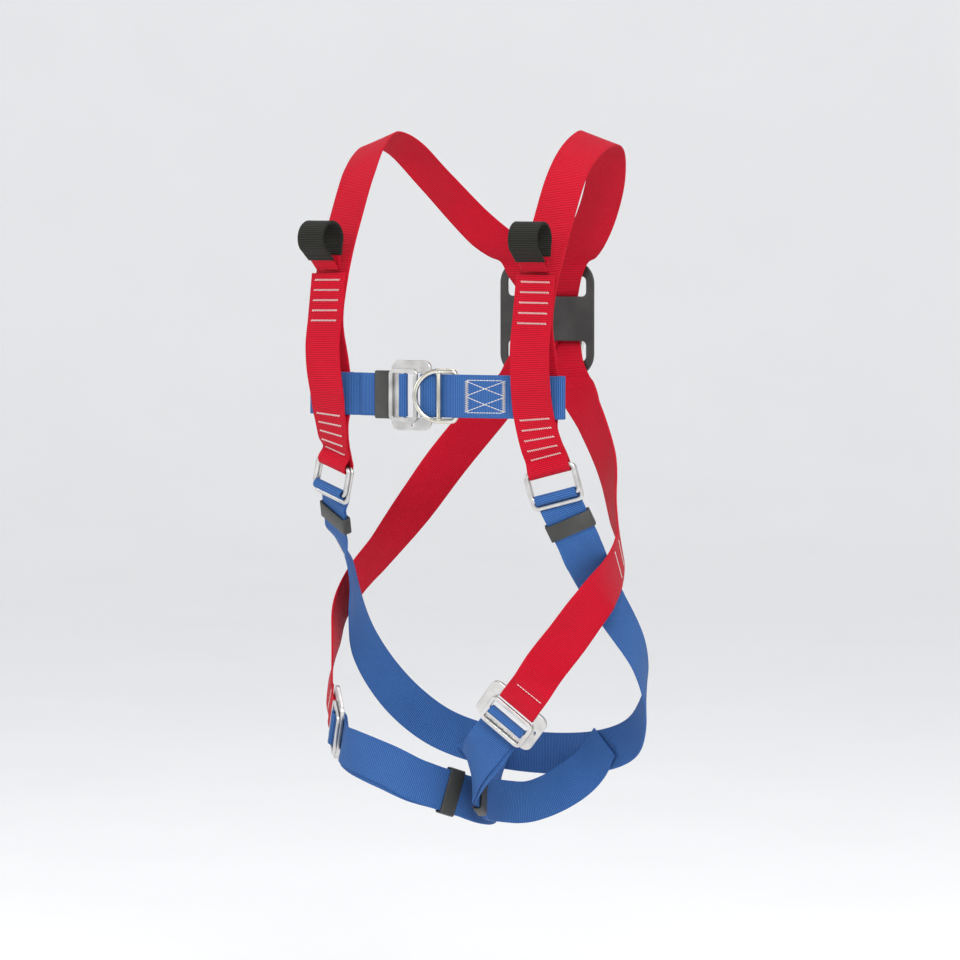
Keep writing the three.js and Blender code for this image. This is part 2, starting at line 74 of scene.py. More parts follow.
SIDES = {"left": 1, "right": -1}
MM = 0.001

# Driving sizes, in millimetres as in the CAD model.
WEB = {"width": 44, "thick": 2}
RING = {"width": 56, "bar": 5.4, "depth": 4, "front": 33, "back": 41, "corner": 7, "play": 0.4}
BUCKLE = {"width": 72, "height": 47, "thick": 4, "corner": 9, "bar": 10, "window": 46}
PLATE = {"width": 54.4, "height": 34, "thick": 3, "corner": 7, "rail": 4.5, "bar": 4.4, "drop": 8, "lift": 0.4}
CHEST_RING = {"wire": 5.2, "inside": 46, "slot": 18, "reach": 43, "tilt": 18}
DORSAL_RING = {"wire": 6.4, "inside": 62, "slot": 16.3, "reach": 62, "tilt": 22.8}
KEEPER = {"length": 18, "width": 49.4, "depth": 9.8, "wall": 1.8}
DORSAL_PLATE = {"width": 114, "height": 122, "thick": 3.4, "corner": 24, "slot": (96, 21), "slot_at": 34}
CHEST_HEIGHT = -264

# What only the visual model has, in millimetres.
WEB_FACE = 0.95         # from the middle of a ply to its face
THREAD_RADIUS = 0.42
LEG_PLY_STRAY = 5       # how far a leg strap's tail strays from its main ply, before the keeper
LOOP_ROOT = 15          # length of each front loop leg that its sleeve leaves bare

# The photograph's camera: angles in degrees, the point that it looks at in millimetres, its distance in metres.
CAMERA = {"azimuth": 31, "elevation": 3, "across": -10.4, "height": -356, "distance": 6,
          "lens": 216, "sensor": 36}
LIGHTS_AIM = Vector((0, 0, -0.35))


# ---------------------------------------------------------------- local frames

def facing(azimuth):
    """Outward direction at an azimuth from the wearer's front, -Y, towards the wearer's left, +X."""
    a = math.radians(azimuth)
    return Vector((math.sin(a), -math.cos(a), 0))


def frame_at(x, y, z, azimuth, roll, tilt=0):
    """Matrix whose axes are width, up and out, in metres, at a place in millimetres."""
    out = facing(azimuth)
    across = Vector((0, 0, 1)).cross(out)
    turn = math.radians(roll)
    width = across * math.cos(turn) + Vector((0, 0, math.sin(turn)))
    up = Vector((0, 0, math.cos(turn))) - across * math.sin(turn)
    matrix = Matrix((width, up, out)).transposed().to_4x4()
    matrix.translation = Vector((x, y, z)) * MM
    return matrix @ Matrix.Rotation(-math.radians(tilt), 4, "X")


ADJUSTER = {side: frame_at(s * 133, -96, -355, s * 18, s * 15) for side, s in SIDES.items()}
LEG = {"left": frame_at(84, -97, -590, 19, -39, -25), "right": frame_at(-154.5, -55, -612, -48, 52)}
CHEST = frame_at(-19, -124, CHEST_HEIGHT, 0, -90)
DORSAL = frame_at(0, 116, -190, 180, 0)
CHEST_RING_FRAME = frame_at(33, -122.7, CHEST_HEIGHT, 0, -90, CHEST_RING["tilt"])
DORSAL_RING_FRAME = frame_at(0, 123, -182.5, 180, 0, DORSAL_RING["tilt"])


def local(matrix, up, out, width=0.0):
    return matrix @ (Vector((width, up, out)) * MM)


def corner_of(frame, up, out, angle, width=44, thick=2):
    """In millimetres, the corner of a strap's station whose face looks at an angle between out and up."""
    a = math.radians(angle)
    return local(frame, up + thick / 2 * math.sin(a), out + thick / 2 * math.cos(a), width / 2) / MM


# ---------------------------------------------------------------- node materials

def new_material(name, base, roughness, metallic=0.0, sheen=0.0, specular=0.5):
    material = bpy.data.materials.new(name)
    material.use_nodes = True
    shader = material.node_tree.nodes["Principled BSDF"]
    shader.inputs["Base Color"].default_value = (*base, 1)
    shader.inputs["Roughness"].default_value = roughness
    shader.inputs["Metallic"].default_value = metallic
    shader.inputs["Sheen Weight"].default_value = sheen
    shader.inputs["Sheen Roughness"].default_value = 0.45
    shader.inputs["Specular IOR Level"].default_value = specular
    return material, material.node_tree, shader


def math_node(tree, operation, a, b=None, c=None):
    node = tree.nodes.new("ShaderNodeMath")
    node.operation = operation
    for socket, value in zip(node.inputs, (a, b, c)):
        if value is None:
            continue
        if isinstance(value, (int, float)):
            socket.default_value = value
        else:
            tree.links.new(value, socket)
    return node.outputs[0]


def noise(tree, scale, detail=2.0, vector=None):
    node = tree.nodes.new("ShaderNodeTexNoise")
    node.inputs["Scale"].default_value = scale
    node.inputs["Detail"].default_value = detail
    if vector is None:
        vector = tree.nodes.new("ShaderNodeTexCoord").outputs["Object"]
    tree.links.new(vector, node.inputs["Vector"])
    return node.outputs["Fac"]


def ramp(tree, factor, stops):
    node = tree.nodes.new("ShaderNodeValToRGB")
    elements = node.color_ramp.elements
    while len(elements) < len(stops):
        elements.new(0.5)
    for element, (position, colour) in zip(elements, stops):
        element.position = position
        element.color = (*colour, 1)
    tree.links.new(factor, node.inputs["Fac"])
    return node.outputs["Color"]


def spread(tree, value, low, high):
    """Maps a 0 to 1 value onto low to high."""
    return math_node(tree, "MULTIPLY_ADD", value, high - low, low)


def bump(tree, shader, height, distance, strength=1.0):
    node = tree.nodes.new("ShaderNodeBump")
    node.inputs["Distance"].default_value = distance
    node.inputs["Strength"].default_value = strength
    tree.links.new(height, node.inputs["Height"])
    tree.links.new(node.outputs["Normal"], shader.inputs["Normal"])


def strap_coordinates(tree):
    """Distances across and along a strap in metres, from its UV map."""
    uv = tree.nodes.new("ShaderNodeUVMap")
    uv.uv_map = "strap"
    split = tree.nodes.new("ShaderNodeSeparateXYZ")
    tree.links.new(uv.outputs["UV"], split.inputs[0])
    return split.outputs["X"], split.outputs["Y"]


def wave(tree, distance, pitch):
    """A 0 to 1 wave along a distance."""
    angle = math_node(tree, "MULTIPLY", distance, 2 * math.pi / pitch)
    return math_node(tree, "MULTIPLY_ADD", math_node(tree, "SINE", angle), 0.5, 0.5)


def webbing_material(name, shades, pitch, rib_depth, roughness):
    """Woven webbing: ribs across the strap, yarns along it, denser selvedges and uneven dye, with painted shade
    in the grooves and painted light on the ribs.
    """
    material, tree, shader = new_material(name, shades[1], roughness, sheen=0.02, specular=0.16)
    yarn_pitch, selvedge_from = 1.15 * MM, 20.3 * MM
    across, along = strap_coordinates(tree)
    rib = wave(tree, along, pitch)
    staggered = math_node(tree, "MULTIPLY_ADD", across, 0.35, along)
    yarn = wave(tree, across, yarn_pitch)
    twill = wave(tree, staggered, pitch * 0.5)
    edge = math_node(tree, "GREATER_THAN", math_node(tree, "ABSOLUTE", across), selvedge_from)
    weave = math_node(tree, "ADD", math_node(tree, "MULTIPLY", rib, 0.62),
                      math_node(tree, "MULTIPLY", yarn, 0.22))
    weave = math_node(tree, "ADD", weave, math_node(tree, "MULTIPLY", twill, 0.16))
    selvedge = math_node(tree, "MULTIPLY_ADD", wave(tree, along, pitch * 0.5), 0.35, 0.3)
    mix = tree.nodes.new("ShaderNodeMix")
    for socket, value in zip((mix.inputs[0], mix.inputs[2], mix.inputs[3]), (edge, weave, selvedge)):
        tree.links.new(value, socket)
    height = mix.outputs[0]
    blotch = noise(tree, 18, 3)
    fibre = noise(tree, 900, 2)
    # Painted shade and light: the weave's height darkens its grooves and lightens its ribs; blotch and fibre
    # add uneven dye and yarn tone.
    groove_shade_and_dye_tone = math_node(tree, "MULTIPLY_ADD", height, 0.72, math_node(tree, "MULTIPLY", blotch, 0.18))
    groove_shade_and_dye_tone = math_node(tree, "ADD", groove_shade_and_dye_tone, math_node(tree, "MULTIPLY", fibre, 0.10))
    colour = ramp(tree, groove_shade_and_dye_tone, ((0.18, shades[0]), (0.55, shades[1]), (0.95, shades[2])))
    tree.links.new(colour, shader.inputs["Base Color"])
    tree.links.new(spread(tree, blotch, roughness - 0.1, roughness + 0.1), shader.inputs["Roughness"])
    bump(tree, shader, height, rib_depth, 0.8)
    return material


def thread_material():
    """Off-white sewing thread with a fine twist."""
    material, tree, shader = new_material("thread", (0.75, 0.70, 0.66), 0.7, sheen=0.2)
    fleck = noise(tree, 1500, 2)
    tree.links.new(ramp(tree, fleck, ((0.3, (0.60, 0.53, 0.50)), (0.7, (0.90, 0.86, 0.82)))),
                   shader.inputs["Base Color"])
    bump(tree, shader, fleck, 0.1 * MM)
    return material


def plastic_material(name, base, roughness):
    """Moulded plastic with a fine spark texture and rubbed patches."""
    material, tree, shader = new_material(name, base, roughness)
    spark = noise(tree, 1400, 3)
    rubbed = noise(tree, 30, 4)
    light = tuple(min(1, 2.2 * c + 0.006) for c in base)
    tree.links.new(ramp(tree, rubbed, ((0.35, base), (0.8, light))), shader.inputs["Base Color"])
    tree.links.new(spread(tree, rubbed, roughness - 0.08, roughness + 0.14), shader.inputs["Roughness"])
    bump(tree, shader, spark, 0.08 * MM, 0.6)
    return material


def steel_material(name, shades, roughness):
    """Plated steel: soft mottling and fine brushing scratches, with roughness that varies with both."""
    material, tree, shader = new_material(name, shades[1], roughness, metallic=1.0)
    mottle = noise(tree, 60, 4)
    stretch = tree.nodes.new("ShaderNodeMapping")
    stretch.inputs["Scale"].default_value = (260, 260, 2600)
    tree.links.new(tree.nodes.new("ShaderNodeTexCoord").outputs["Object"], stretch.inputs["Vector"])
    scratch = noise(tree, 1, 3, stretch.outputs["Vector"])
    tree.links.new(ramp(tree, mottle, ((0.3, shades[0]), (0.7, shades[1]))), shader.inputs["Base Color"])
    worn = math_node(tree, "MULTIPLY_ADD", scratch, 0.5, math_node(tree, "MULTIPLY", mottle, 0.5))
    tree.links.new(spread(tree, worn, roughness - 0.1, roughness + 0.14), shader.inputs["Roughness"])
    bump(tree, shader, scratch, 0.03 * MM, 0.5)
    return material


# Each webbing's three colours: a painted-shade dark for the weave's grooves, the webbing's own colour, and a
# painted-light bright for its ribs.
RED = webbing_material("red_webbing", ((0.20, 0.0005, 0.008), (0.60, 0.001, 0.018), (0.86, 0.004, 0.035)),
                       1.9 * MM, 1.0 * MM, 0.6)
BLUE = webbing_material("blue_webbing", ((0.012, 0.042, 0.13), (0.040, 0.135, 0.40), (0.085, 0.23, 0.55)),
                        1.9 * MM, 1.1 * MM, 0.6)
SLEEVE = webbing_material("black_sleeve", ((0.004, 0.004, 0.003), (0.018, 0.018, 0.014), (0.050, 0.049, 0.040)),
                          2.2 * MM, 1.2 * MM, 0.65)
THREAD = thread_material()
BLACK_PLASTIC = plastic_material("black_plastic", (0.022, 0.022, 0.020), 0.42)
FORGED = steel_material("forged_steel", ((0.50, 0.49, 0.48), (0.70, 0.69, 0.67)), 0.30)
PLATED = steel_material("plated_steel", ((0.55, 0.52, 0.44), (0.74, 0.72, 0.64)), 0.18)


# ---------------------------------------------------------------- strap routes, read from the CAD solids

def welded(node):
    """The node's corners, each once, and its triangles as numbers of corners."""
    numbers = {}
    corners = []
    order = []
    for vertex in NODES[node].data.vertices:
        key = tuple(round(c * 1e6) for c in vertex.co)
        if key not in numbers:
            numbers[key] = len(corners)
            corners.append(np.array(vertex.co))
        order.append(numbers[key])
    triangles = [tuple(order[i] for i in face.vertices) for face in NODES[node].data.polygons]
    return corners, triangles


def first_station(corners, neighbours, start, width, thick):
    """The four corners, in order round the strap, of the station that has a corner nearest to start."""
    loop = [min(neighbours, key=lambda c: np.linalg.norm(corners[c] - start))]
    for size in (width, thick, width):
        here = loop[-1]
        loop.append(min(neighbours[here] - {here},
                        key=lambda c: abs(np.linalg.norm(corners[c] - corners[here]) - size * MM)))
    return tuple(loop)


def stations(node, start, width=44, thick=2, closed=False):
    """Middle, half-width and thickness of every station of a strap, from the one nearest to start."""
    corners, triangles = welded(node)
    neighbours = {}
    for triangle in triangles:
        for corner in triangle:
            neighbours.setdefault(corner, set()).update(triangle)
    loop = first_station(corners, neighbours, np.array(start) * MM, width, thick)
    around = set().union(*(neighbours[c] for c in loop)) - set(loop)
    seen = {c for c in around if corners[c][0] > corners[loop[0]][0]} if closed else set()
    loops = [loop]
    while True:
        around = set().union(*(neighbours[c] for c in loop)) - set(loop) - seen
        if len(around) != 4 or around & set(loops[0]):
            break
        seen = set(loop)
        loop = min(permutations(around), key=lambda order: sum(
            np.sum((corners[n] - corners[c]) ** 2) for n, c in zip(order, loop)))
        loops.append(loop)
    return [station(*(corners[c] for c in loop)) for loop in loops]


def station(p, q, r, t):
    if np.linalg.norm(q - p) < np.linalg.norm(r - q):
        p, q, r, t = q, r, t, p
    middle = (p + q + r + t) / 4
    return middle, (q - p + r - t) / 4, np.linalg.norm(r - q)


class Route:
    """A smooth strap route through stations. The face is the side that `outward` points to at the start."""

    def __init__(self, points, outward=None):
        self.middle = np.array([p[0] for p in points])
        self.across = np.array([p[1] for p in points])
        self.thick = np.array([p[2] for p in points])
        steps = np.linalg.norm(np.diff(self.middle, axis=0), axis=1)
        self.place = np.concatenate([[0], np.cumsum(steps)])
        self.length = self.place[-1]
        self.face = 1.0
        if outward is not None:
            self.face_towards(outward)

    def face_towards(self, outward, place=0.0):
        """Makes the face at a place the one that looks towards outward."""
        normal = self.sample(np.array([place]))[2][0]
        if normal @ np.array(outward) < 0:
            self.face = -self.face

    def smooth(self, values, places):
        h = np.diff(self.place)
        slope = np.diff(values, axis=0) / h[:, None]
        tangent = np.concatenate([slope[:1], slope, slope[-1:]])
        before = np.concatenate([h[:1], h])[:, None]
        after = np.concatenate([h, h[-1:]])[:, None]
        tangent = (tangent[:-1] * after + tangent[1:] * before) / (before + after)
        i = np.clip(np.searchsorted(self.place, places, side="right") - 1, 0, len(h) - 1)
        t = ((places - self.place[i]) / h[i])[:, None]
        span = h[i][:, None]
        return ((2 * t**3 - 3 * t**2 + 1) * values[i] + (t**3 - 2 * t**2 + t) * span * tangent[i]
                + (3 * t**2 - 2 * t**3) * values[i + 1] + (t**3 - t**2) * span * tangent[i + 1])

    def sample(self, places):
        """Middle, half-width, face and thickness at each place along the strap."""
        middle = self.smooth(self.middle, places)
        across = self.smooth(self.across, places)
        step = 0.2 * MM
        ahead = self.smooth(self.middle, np.minimum(places + step, self.length))
        behind = self.smooth(self.middle, np.maximum(places - step, 0))
        face = np.cross(across, ahead - behind) * self.face
        face /= np.linalg.norm(face, axis=1)[:, None]
        return middle, across, face, np.interp(places, self.place, self.thick)

    def nearest(self, point, low=0.0, high=None):
        places = np.linspace(low, high or self.length, 3000)
        gaps = np.linalg.norm(self.smooth(self.middle, places) - np.array(point) * MM, axis=1)
        return places[int(np.argmin(gaps))]

    def spaced(self, low, high, step, turn=0.2):
        """Places from low to high, closer together where the strap bends."""
        fine = np.linspace(low, high, max(3, int((high - low) / (0.25 * MM))))
        along = np.diff(self.smooth(self.middle, fine), axis=0)
        along /= np.linalg.norm(along, axis=1)[:, None]
        bend = np.linalg.norm(np.diff(along, axis=0), axis=1) / (fine[1] - fine[0])
        bend = np.concatenate([bend[:1], bend, bend[-1:]])
        density = np.hypot(1 / step, np.minimum(bend, 1 / MM) / turn)
        load = np.concatenate([[0], np.cumsum((density[1:] + density[:-1]) / 2 * np.diff(fine))])
        return np.interp(np.linspace(0, load[-1], max(4, int(load[-1]) + 2)), load, fine)

    def ply(self, low, high, step, side=0, rise=0.0, reach=1.0):
        """Stations of one ply of a strap that may be doubled: side 1 is the ply on the route's face, side -1
        the one on its other side. The ply strays upwards by as much as `rise` between the route's start and
        `reach`, and not at either."""
        places = np.linspace(low, high, max(2, int(abs(high - low) / step) + 1))
        middle, across, face, thick = self.sample(places)
        offset = side * (thick - WEB["thick"] * MM) / 2
        unit = across / np.linalg.norm(across, axis=1)[:, None]
        stray = rise * np.sin(math.pi * np.clip(places / reach, 0, 1)) * np.sign(unit[:, 2])
        middle = middle + face * offset[:, None] + unit * stray[:, None]
        return [(m, a, WEB["thick"] * MM) for m, a in zip(middle, across)]


# ---------------------------------------------------------------- meshes

def new_object(name, vertices, faces, material):
    mesh = bpy.data.meshes.new(name)
    mesh.from_pydata([tuple(v) for v in vertices], [], faces)
    mesh.update()
    mesh.materials.append(material)
    for face in mesh.polygons:
        face.use_smooth = len(face.vertices) <= 4
    piece = bpy.data.objects.new(name, mesh)
    bpy.context.scene.collection.objects.link(piece)
    return piece


def quads(rows, sides, closed=False):
    """The faces between neighbouring loops of corners. A closed piece joins its last loop to its first."""
    faces = []
    for i in range(rows if closed else rows - 1):
        here, after = i * sides, (i + 1) % rows * sides
        for k in range(sides):
            m = (k + 1) % sides
            faces.append((here + k, here + m, after + m, after + k))
    return faces


def caps(rows, sides):
    """The two end faces of an open piece."""
    return [tuple(reversed(range(sides))), tuple(range((rows - 1) * sides, rows * sides))]


def webbing_profile(half_width, half_thick):
    """Cross-section as fractions across and distances through: flat faces with beaded round selvedges."""
    flat = [-0.86, -0.6, -0.2, 0.2, 0.6, 0.86]
    front = [(x, half_thick * (1 - 0.1 * (1 - x * x))) for x in flat]
    bead = 1 - half_thick / half_width
    edge = []
    for angle in (75, 40, 0, -40, -75):
        a = math.radians(angle)
        edge.append((bead + (1 - bead) * math.cos(a), half_thick * 1.05 * math.sin(a)))
    back = [(x, -z) for x, z in reversed(front)]
    return front + edge + back + [(-x, -z) for x, z in edge]


def ribbon(name, route, low, high, material, half_thick=WEB_FACE * MM, closed=False, breadth=1.0):
    """Webbing laid along a route, with its distances across and along as its UV map."""
    places = route.spaced(low, high, 2.4 * MM)
    rows = len(places) - 1 if closed else len(places)
    middle, across, face, _ = route.sample(places[:rows])
    half_width = np.linalg.norm(across[0]) * breadth
    profile = webbing_profile(half_width, half_thick)
    sides = len(profile)
    vertices = [middle[i] + across[i] * (x * breadth) + face[i] * z for i in range(rows) for x, z in profile]
    faces = quads(rows, sides, closed)
    uvs = [(row, corner) for i in range(len(places) - 1) for k in range(sides)
           for row, corner in ((i, k), (i, (k + 1) % sides), (i + 1, (k + 1) % sides), (i + 1, k))]
    if not closed:
        faces += caps(rows, sides)
        uvs += [(0, k) for k in reversed(range(sides))] + [(rows - 1, k) for k in range(sides)]
    piece = new_object(name, vertices, faces, material)
    layer = piece.data.uv_layers.new(name="strap")
    for corner, (row, k) in enumerate(uvs):
        layer.data[corner].uv = (profile[k][0] * half_width, places[row])
    return face_out(piece)


def face_out(piece):
    """Turns a closed piece's faces to point out."""
    mesh = piece.data
    volume = 0.0
    mesh.calc_loop_triangles()
    for triangle in mesh.loop_triangles:
        a, b, c = (mesh.vertices[i].co for i in triangle.vertices)
        volume += a.dot(b.cross(c))
    if volume < 0:
        mesh.flip_normals()
    return piece


def dress(piece, body, slot_name, *nodes):
    """Ties a piece to the body that it moves with and hides the nodes that it stands for. The slot name is not
    used.
    """
    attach(piece, body)
    if nodes:
        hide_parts(*nodes)


def rounded_rectangle(width, height, radius, centre=(0.0, 0.0), per_corner=8):
    points = []
    for corner in range(4):
        sx, sy = ((1, 1), (-1, 1), (-1, -1), (1, -1))[corner]
        for k in range(per_corner + 1):
            a = math.radians(90 * (corner + k / per_corner))
            points.append((centre[0] + sx * (width / 2 - radius) + radius * math.cos(a),
                           centre[1] + sy * (height / 2 - radius) + radius * math.sin(a)))
    return points


def bent_bar(name, path, half_width, half_depth, matrix, material, sides=18):
    """A round or oval bar bent along a closed path in a frame's width and up plane."""
    points = subdivided(path, 3.0)
    count = len(points)
    vertices = []
    for i, point in enumerate(points):
        along = Vector(points[(i + 1) % count]) - Vector(points[i - 1])
        along.normalize()
        for k in range(sides):
            a = 2 * math.pi * k / sides
            w = half_width * math.cos(a)
            vertices.append(matrix @ (Vector((point[0] - along.y * w, point[1] + along.x * w,
                                              half_depth * math.sin(a))) * MM))
    return face_out(new_object(name, vertices, quads(count, sides, closed=True), material))


def subdivided(path, longest):
    """The closed path in steps of about `longest` or less, without repeated points."""
    points = []
    for a, b in zip(path, path[1:] + path[:1]):
        parts = max(1, int(math.dist(a, b) / longest))
        if math.dist(a, b) < 1e-6:
            continue
        points += [(a[0] + (b[0] - a[0]) * k / parts, a[1] + (b[1] - a[1]) * k / parts)
                   for k in range(parts)]
    return points


def sheet_metal(name, outlines, thick, bevel, matrix, material, at=(0.0, 0.0, 0.0)):
    """A flat plate with holes and rounded edges, from outlines in millimetres."""
    curve = bpy.data.curves.new(name, "CURVE")
    curve.dimensions = "2D"
    curve.fill_mode = "BOTH"
    curve.extrude = thick / 2 - bevel
    curve.bevel_depth = bevel
    curve.bevel_resolution = 3
    curve.offset = -bevel
    for number, outline in enumerate(outlines):
        if number:
            outline = outline[::-1]
        spline = curve.splines.new("POLY")
        spline.points.add(len(outline) - 1)
        spline.use_cyclic_u = True
        for point, (x, y) in zip(spline.points, outline):
            point.co = (x, y, 0, 1)
    piece = to_mesh(name, curve, material)
    piece.data.transform(Matrix.Translation(Vector(at)))
    piece.data.transform(Matrix.Scale(MM, 4))
    piece.data.transform(matrix)
    weld(piece, 0.004 * MM)
    axis = matrix.to_3x3() @ Vector((0, 0, 1))
    for face in piece.data.polygons:
        face.use_smooth = abs(face.normal.dot(axis)) < 0.99
    return piece


def to_mesh(name, curve, material):
    holder = bpy.data.objects.new(name + "_curve", curve)
    bpy.context.scene.collection.objects.link(holder)
    bpy.context.view_layer.update()
    mesh = bpy.data.meshes.new_from_object(holder.evaluated_get(bpy.context.evaluated_depsgraph_get()))
    bpy.data.objects.remove(holder)
    bpy.data.curves.remove(curve)
    mesh.name = name
    mesh.materials.clear()
    mesh.materials.append(material)
    piece = bpy.data.objects.new(name, mesh)
    bpy.context.scene.collection.objects.link(piece)
    return piece


def weld(piece, distance):
    work = bmesh.new()
    work.from_mesh(piece.data)
    bmesh.ops.remove_doubles(work, verts=work.verts, dist=distance)
    bmesh.ops.recalc_face_normals(work, faces=work.faces)
    work.to_mesh(piece.data)
    work.free()


def thread_runs(name, runs):
    """Sewing thread: one thin tube for each run of points, all in one piece."""
    curve = bpy.data.curves.new(name, "CURVE")
    curve.dimensions = "3D"
    curve.bevel_depth = THREAD_RADIUS * MM
    curve.bevel_resolution = 1
    curve.use_fill_caps = True
    for run in runs:
        spline = curve.splines.new("POLY")
        spline.points.add(len(run) - 1)
        for point, place in zip(spline.points, run):
            point.co = (*place, 1)
    piece = to_mesh(name, curve, THREAD)
    for face in piece.data.polygons:
        face.use_smooth = True
    return piece


# ---------------------------------------------------------------- stitching

def on_face(route, place, across, lift, side):
    """A point on a strap's face, or its other face for side -1. Across and lift are in millimetres."""
    middle, half, face, _ = route.sample(np.array([place]))
    unit = half[0] / np.linalg.norm(half[0])
    return middle[0] + unit * across * MM + face[0] * (side * (WEB_FACE + lift) * MM)


def zigzag(route, place, reach, swing=0.8, pitch=1.1, side=1):
    """A bar tack across the strap."""
    count = int(2 * reach / pitch)
    return [on_face(route, place + swing * (-1) ** k * MM, -reach + pitch * k, 0.15, side)
            for k in range(count + 1)]


def dashes(route, start, end, stitch=2.6, gap=0.9, side=1):
    """A dashed line of lockstitch between two (place in metres, across in millimetres) points."""
    length = math.hypot((end[0] - start[0]) / MM, end[1] - start[1])
    runs = []
    at = 0.0
    while at + stitch <= length:
        run = []
        for part, lift in ((0, -0.25), (0.2, 0.12), (0.5, 0.2), (0.8, 0.12), (1, -0.25)):
            w = (at + stitch * part) / length
            run.append(on_face(route, start[0] + (end[0] - start[0]) * w,
                               start[1] + (end[1] - start[1]) * w, lift, side))
        runs.append(run)
        at += stitch + gap
    return runs


# ---------------------------------------------------------------- red shoulder straps

def shoulder_strap(side):
    s = SIDES[side]
    name = f"shoulder_strap_{side}"
    route = Route(stations(name, (s * 124, -117, -140)), outward=(0, -1, 0))
    piece = ribbon(f"{name}_webbing", route, 0, route.length, RED)
    dress(piece, "root", "red_webbing", name)
    shoulder_stitching(f"{name}_stitching", route, s, LEG["right" if side == "left" else "left"])


def shoulder_stitching(name, route, s, buckle):
    """Bar tacks of the two sewn blocks on the outer ply, the hip tacks and the leg loop's seam."""
    outer_ply = 0.2
    past_crossing = 0.6 * route.length
    rows, row_gap, hip_gap = 5, 10.6, 26
    blocks = [route.nearest(place, 0, outer_ply) for place in ((s * 124, -119, -147), (s * 123, -119, -286))]
    runs = [zigzag(route, block + row * row_gap * MM, 16.5) for block in blocks for row in range(rows)]
    seam = route.nearest(local(buckle, 37, 1.4) / MM, past_crossing)
    runs += dashes(route, (seam, -17), (seam, 17), side=-1)
    hip = route.nearest((-s * 150, 10, -430), past_crossing)
    for ahead in (0, hip_gap):
        runs.append(zigzag(route, hip + ahead * MM, 15, side=-1))
    dress(thread_runs(name, runs), "root", "red_webbing")


# ---------------------------------------------------------------- blue straps

def turned(points):
    return [(m, a, t) for m, a, t in reversed(points)]


def aligned(points):
    """Flips half-widths that point the other way round from their neighbours."""
    result = [points[0]]
    for middle, across, thick in points[1:]:
        result.append((middle, -across if across @ result[-1][1] < 0 else across, thick))
    return result


def looped(route, turn, tail, rise, reach):
    """The main ply up to the buckle bar, the turn round it, and the tail ply back as far as `tail`."""
    skip = 1.2 * MM
    main = turned(route.ply(skip, route.length, 2 * MM, side=1))
    back = route.ply(skip, tail, 2 * MM, -1, rise, reach)
    return aligned(main + turn.ply(skip, turn.length - skip, 1 * MM) + back)


def buckled_strap(name, turn_name, suffix, frame, tail, sleeve, rise):
    """A strap that turns round its buckle plate's bar, with its tail doubled back along it into a keeper."""
    _, up, out = frame.to_3x3().transposed()
    doubled = 4.4
    start = corner_of(frame, -8.2, -1.2, 80, thick=doubled)
    route = Route(stations(name + suffix, start, thick=doubled), outward=up)
    turn = Route(stations(turn_name + suffix, corner_of(frame, -6.04, 0.76, 148)))
    reach = route.nearest(STRETCHES[sleeve][0])
    whole = Route(looped(route, turn, route.nearest(tail), rise, reach))
    whole.face_towards(out, whole.nearest(local(frame, -23, -3.5) / MM))
    piece = ribbon(f"{name}{suffix}_webbing", whole, 0, whole.length, BLUE)
    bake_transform(piece)
    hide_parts(name + suffix, turn_name + suffix)


def chest_strap_left():
    points = stations("chest_strap_left", (50, -118, CHEST_HEIGHT + 22), closed=True)
    route = Route(points[-2:] + points + points[:3], outward=(0, 1, 0))
    low, high = route.place[2], route.place[2 + len(points)]
    piece = ribbon("chest_strap_left_webbing", route, low, high, BLUE, closed=True)
    dress(piece, "root", "blue_webbing", "chest_strap_left")
    near = route.nearest((47, -123, CHEST_HEIGHT), low, high)
    far = route.nearest((86, -119, CHEST_HEIGHT), low, high)
    runs = []
    for place in (near, near - 1.6 * MM, far, far + 1.6 * MM):
        runs.append(zigzag(route, place, 16, swing=1.1))
    for start, end in ((-15, -1), (-1, -15), (1, 15), (15, 1), (-16.5, -16.5), (16.5, 16.5)):
        runs += dashes(route, (near, start), (far, end))
    dress(thread_runs("chest_strap_stitching", runs), "root", "blue_webbing")


def seat_strap():
    """The strap between the adjusters. The seams of its moving ends lie inside the hip keepers."""
    frame = ADJUSTER["left"]
    points = stations("seat_strap", corner_of(frame, -7.2, -2.9, 110))
    route = Route(points, outward=frame.to_3x3() @ Vector((0, 1, 0)))
    keepers = [STRETCHES[f"hip_{side}"] for side in SIDES]
    cuts = [route.nearest(first.lerp(last, 0.5)) for first, last, _ in keepers]
    main = Route(route.ply(cuts[0], cuts[1], 3 * MM, side=-1), outward=facing(24))
    dress(ribbon("seat_strap_webbing", main, 0, main.length, BLUE), "root", "blue_webbing", "seat_strap")
    seat_strap_end("left", points)
    seat_strap_end("right", turned(points))


